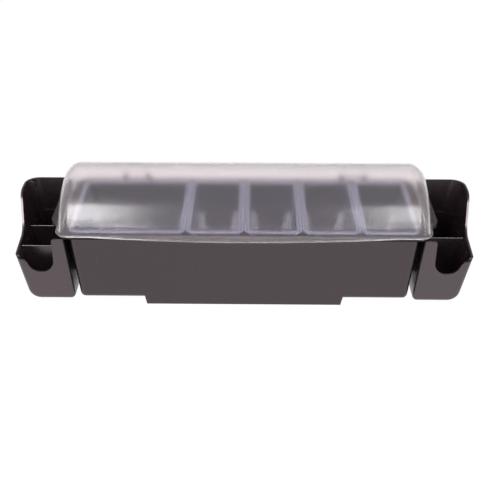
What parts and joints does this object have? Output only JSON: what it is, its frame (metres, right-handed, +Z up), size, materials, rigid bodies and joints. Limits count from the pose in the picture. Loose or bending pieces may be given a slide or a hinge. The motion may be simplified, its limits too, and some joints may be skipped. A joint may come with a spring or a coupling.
{
  "type": "condiment caddy with hinged dome lid",
  "caption": "Bar-top ice tub with lift-out condiment trays under a hinged frosted dome lid, and clip-on side caddies with dividers.",
  "frame": {"origin": "centre of the assembly's base, on the counter, halfway along the tub and halfway between the thumb lip and the back of the hinges", "axes": "+X along the tub to the user's right, +Y to the back where the hinges are, +Z up, in metres"},
  "size_m": [0.5874, 0.194, 0.152],
  "materials": {
    "black_abs": "satin black moulded plastic",
    "frosted_clear": "frosted clear moulded plastic",
    "clear_tray": "clear moulded plastic with a blue tint",
    "pin_steel": "plain stainless steel",
    "black_rubber": "matt black rubber"
  },
  "bodies": {
    "tub": {"tub": "black_abs", "hinge_pin_left": "pin_steel", "hinge_pin_right": "pin_steel", "lid_bumper_left": "black_rubber", "lid_bumper_right": "black_rubber", "foot_front_left": "black_rubber", "foot_front_right": "black_rubber", "foot_rear_left": "black_rubber", "foot_rear_right": "black_rubber"},
    "lid": {"lid": "frosted_clear"},
    "quart_tray": {"quart_tray": "clear_tray"},
    "pint_tray_1": {"pint_tray_1": "clear_tray"},
    "pint_tray_2": {"pint_tray_2": "clear_tray"},
    "pint_tray_3": {"pint_tray_3": "clear_tray"},
    "pint_tray_4": {"pint_tray_4": "clear_tray"},
    "left_caddy": {"left_caddy": "black_abs"},
    "left_divider_front": {"left_divider_front": "black_abs"},
    "left_divider_rear": {"left_divider_rear": "black_abs"},
    "right_caddy": {"right_caddy": "black_abs"},
    "right_divider": {"right_divider": "black_abs"}
  },
  "joints": [
    {"name": "lid_hinge", "type": "hinge", "parent": "tub", "child": "lid", "pos_m": [0, 0.092, 0.097], "axis": [-1, 0, 0], "range_deg": [0, 105]},
    {"name": "quart_tray_lift", "type": "slide", "parent": "tub", "child": "quart_tray", "axis": [0, 0, 1], "range_m": [0, 0.01]},
    {"name": "pint_tray_1_lift", "type": "slide", "parent": "tub", "child": "pint_tray_1", "axis": [0, 0, 1], "range_m": [0, 0.01]},
    {"name": "pint_tray_2_lift", "type": "slide", "parent": "tub", "child": "pint_tray_2", "axis": [0, 0, 1], "range_m": [0, 0.01]},
    {"name": "pint_tray_3_lift", "type": "slide", "parent": "tub", "child": "pint_tray_3", "axis": [0, 0, 1], "range_m": [0, 0.01]},
    {"name": "pint_tray_4_lift", "type": "slide", "parent": "tub", "child": "pint_tray_4", "axis": [0, 0, 1], "range_m": [0, 0.01]},
    {"name": "left_caddy_pull", "type": "slide", "parent": "tub", "child": "left_caddy", "axis": [-1, 0, 0], "range_m": [0, 0.06]},
    {"name": "right_caddy_pull", "type": "slide", "parent": "tub", "child": "right_caddy", "axis": [1, 0, 0], "range_m": [0, 0.06]},
    {"name": "left_divider_front_lift", "type": "slide", "parent": "left_caddy", "child": "left_divider_front", "axis": [-0.0941, 0, 0.9956], "range_m": [0, 0.018]},
    {"name": "left_divider_rear_lift", "type": "slide", "parent": "left_caddy", "child": "left_divider_rear", "axis": [-0.0941, 0, 0.9956], "range_m": [0, 0.018]},
    {"name": "right_divider_lift", "type": "slide", "parent": "right_caddy", "child": "right_divider", "axis": [0.0941, 0, 0.9956], "range_m": [0, 0.018]}
  ]
}
